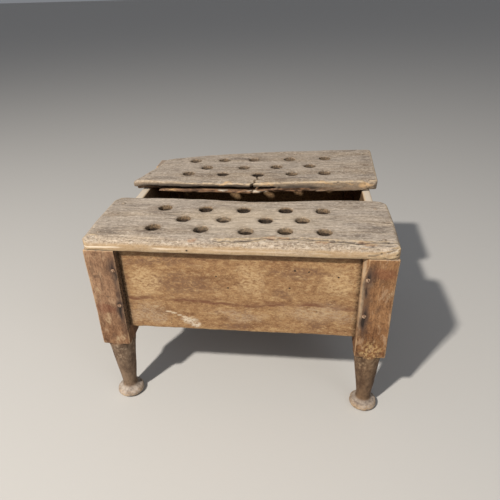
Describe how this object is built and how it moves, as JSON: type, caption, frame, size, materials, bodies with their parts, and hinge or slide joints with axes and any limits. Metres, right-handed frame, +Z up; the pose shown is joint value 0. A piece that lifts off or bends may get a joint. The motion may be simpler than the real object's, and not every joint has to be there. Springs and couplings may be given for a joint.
{
  "type": "test tube rack",
  "caption": "Low nailed wooden box on turned legs, topped by weathered boards drilled with staggered rows of round holes that hold test tubes upright.",
  "frame": {"origin": "on the floor, under the middle of the outer box", "axes": "+X to the right along the long side as seen from the front, +Y to the rear, +Z up"},
  "size_m": [0.376, 0.3594, 0.2622],
  "materials": {
    "post_wood": "worn brown wood, turned below, dry and unvarnished",
    "panel_wood": "warm tan planed wood, mottled with age",
    "board_wood": "weathered grey-brown wood with worn edges",
    "bottom_wood": "dull sawn wood",
    "iron": "dark rusted iron"
  },
  "bodies": {
    "root": {"leg_front_left": "post_wood", "leg_front_right": "post_wood", "leg_rear_left": "post_wood", "leg_rear_right": "post_wood", "front_panel": "panel_wood", "rear_panel": "panel_wood", "left_end_panel": "panel_wood", "right_end_panel": "panel_wood", "front_top_board": "board_wood", "rear_top_board": "board_wood", "bottom_board_front": "bottom_wood", "bottom_board_middle": "bottom_wood", "bottom_board_rear": "bottom_wood", "bottom_cleat_left": "bottom_wood", "bottom_cleat_right": "bottom_wood", "front_panel_nails": "iron", "rear_panel_nails": "iron", "left_panel_nails": "iron", "right_panel_nails": "iron", "front_board_nails": "iron", "rear_board_nails": "iron", "bottom_board_nails": "iron", "cleat_nails": "iron"}
  },
  "joints": []
}
